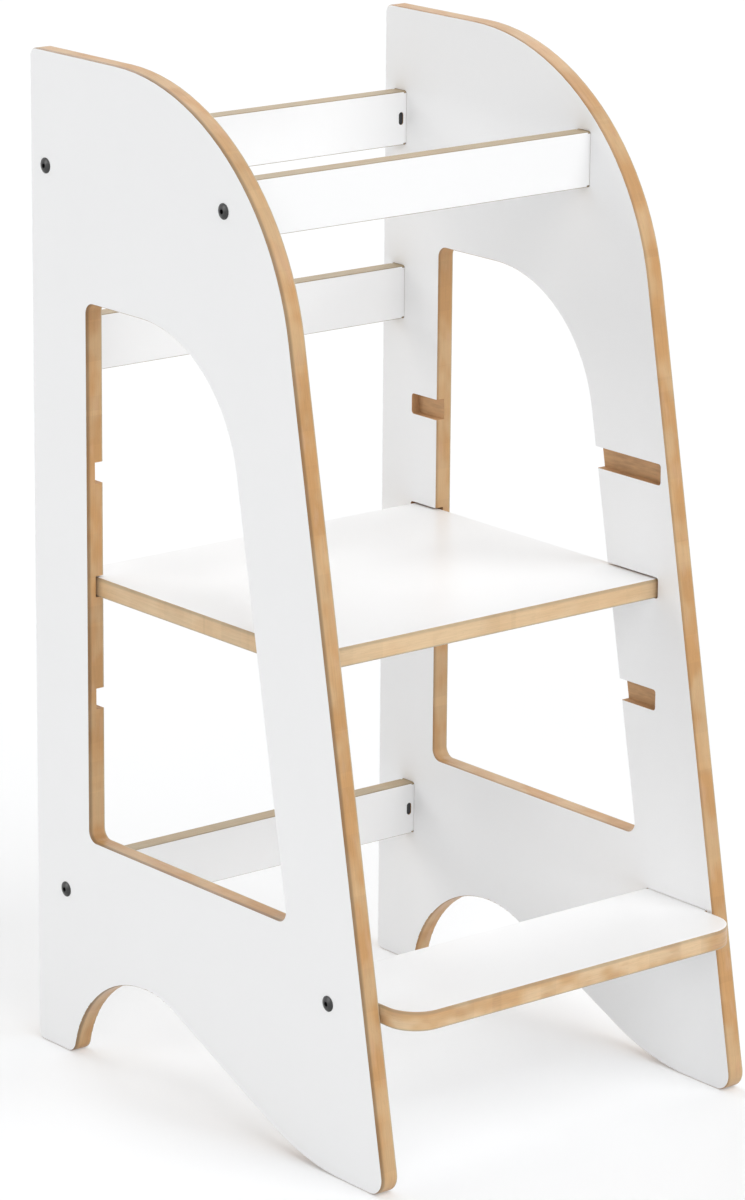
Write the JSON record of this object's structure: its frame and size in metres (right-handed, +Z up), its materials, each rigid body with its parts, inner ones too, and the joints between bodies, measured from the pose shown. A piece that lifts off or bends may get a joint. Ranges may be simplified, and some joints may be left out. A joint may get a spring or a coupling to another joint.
{
  "type": "toddler kitchen helper stool",
  "caption": "Tall step stool for a toddler at a worktop: windowed side panels, cross rails, a fixed step and a standing platform that sits in slots at a choice of heights.",
  "frame": {"origin": "on the floor, in the middle of the whole stool", "axes": "+Z up, -Y the open side with the step, +X towards the right side panel as seen from the step"},
  "size_m": [0.4244, 0.51, 0.92],
  "materials": {
    "laminated_board": "satin white laminate faces with wood-look edges",
    "black_steel": "black oxide"
  },
  "bodies": {
    "frame": {"left_side_panel": "laminated_board", "rear_top_rail": "laminated_board", "front_top_rail": "laminated_board", "rear_middle_rail": "laminated_board", "rear_bottom_rail": "laminated_board", "front_step": "laminated_board", "left_rear_top_bolt": "black_steel", "left_front_top_bolt": "black_steel", "left_rear_bottom_bolt": "black_steel", "left_step_bolt": "black_steel", "left_rear_top_nut": "black_steel", "left_front_top_nut": "black_steel", "left_rear_bottom_nut": "black_steel", "left_step_nut": "black_steel", "right_rear_top_nut": "black_steel", "right_front_top_nut": "black_steel", "right_rear_bottom_nut": "black_steel", "right_step_nut": "black_steel"},
    "right_side": {"right_side_panel": "laminated_board", "right_rear_top_bolt": "black_steel", "right_front_top_bolt": "black_steel", "right_rear_bottom_bolt": "black_steel", "right_step_bolt": "black_steel"},
    "platform": {"platform": "laminated_board"}
  },
  "joints": [
    {"name": "right_side_slide", "type": "slide", "parent": "frame", "child": "right_side", "axis": [1, 0, 0], "range_m": [0, 0.013]},
    {"name": "platform_release", "type": "slide", "parent": "frame", "child": "platform", "axis": [1, 0, 0], "range_m": [0, 0.0065]}
  ],
  "couplings": [
    {"joint": "platform_release", "follows": "right_side_slide", "ratio": 0.5}
  ]
}
